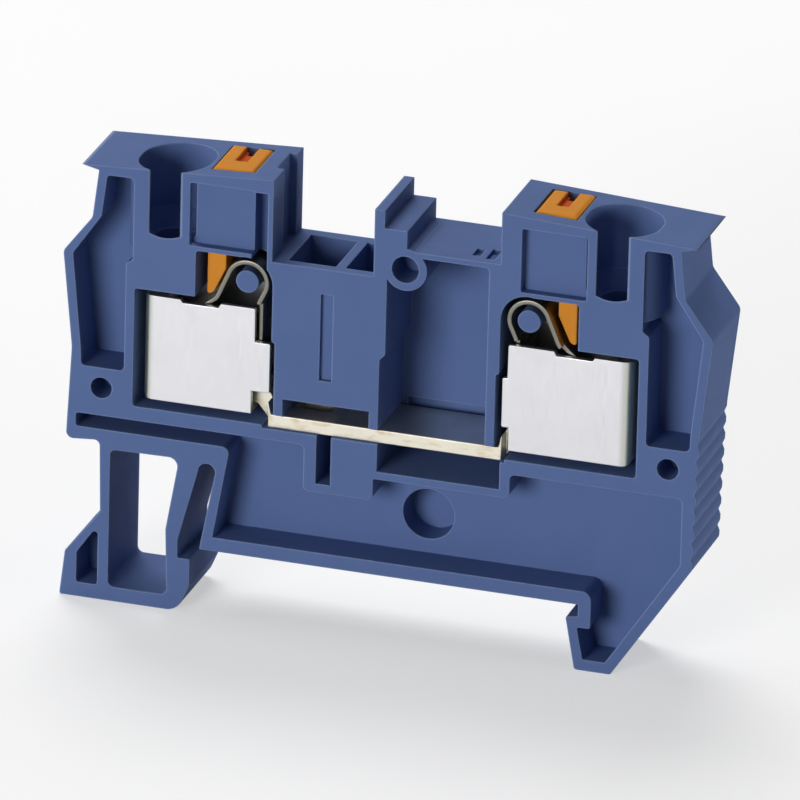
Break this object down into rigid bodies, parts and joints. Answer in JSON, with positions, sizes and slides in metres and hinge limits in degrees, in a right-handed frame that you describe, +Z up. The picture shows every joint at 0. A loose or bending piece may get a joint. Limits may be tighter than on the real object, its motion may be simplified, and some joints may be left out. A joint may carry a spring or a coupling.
{
  "type": "feed-through terminal block",
  "caption": "Push-in feed-through terminal block for a 35 mm rail: blue moulded housing open on one side, current bar, contact cages, clamping springs and orange release buttons.",
  "frame": {"origin": "middle of the rail seat: the centre of the 35 mm rail's top flange plane, halfway through the block's width", "axes": "+X along the block towards the rigid foot, +Y along the rail from the open side to the closed side, +Z up from the rail"},
  "size_m": [0.0576, 0.0094, 0.0407],
  "materials": {
    "housing": "moulded polyamide, satin",
    "button": "moulded polyamide, satin",
    "current_bar": "tinned copper alloy, bronze at the cut edges",
    "cage": "bright tinned sheet",
    "spring": "spring steel strip"
  },
  "bodies": {
    "block": {"housing": "housing", "current_bar": "current_bar", "left_cage": "cage", "right_cage": "cage", "left_spring": "spring", "right_spring": "spring"},
    "left_release": {"left_button": "button"},
    "right_release": {"right_button": "button"}
  },
  "joints": [
    {"name": "left_button_press", "type": "slide", "parent": "block", "child": "left_release", "axis": [0, 0, -1], "range_m": [0, 0.002], "stiffness_N_per_m": 3000, "springref_m": -0.002, "deforming": ["left_spring"]},
    {"name": "right_button_press", "type": "slide", "parent": "block", "child": "right_release", "axis": [0, 0, -1], "range_m": [0, 0.002], "stiffness_N_per_m": 3000, "springref_m": -0.002, "deforming": ["right_spring"]}
  ]
}
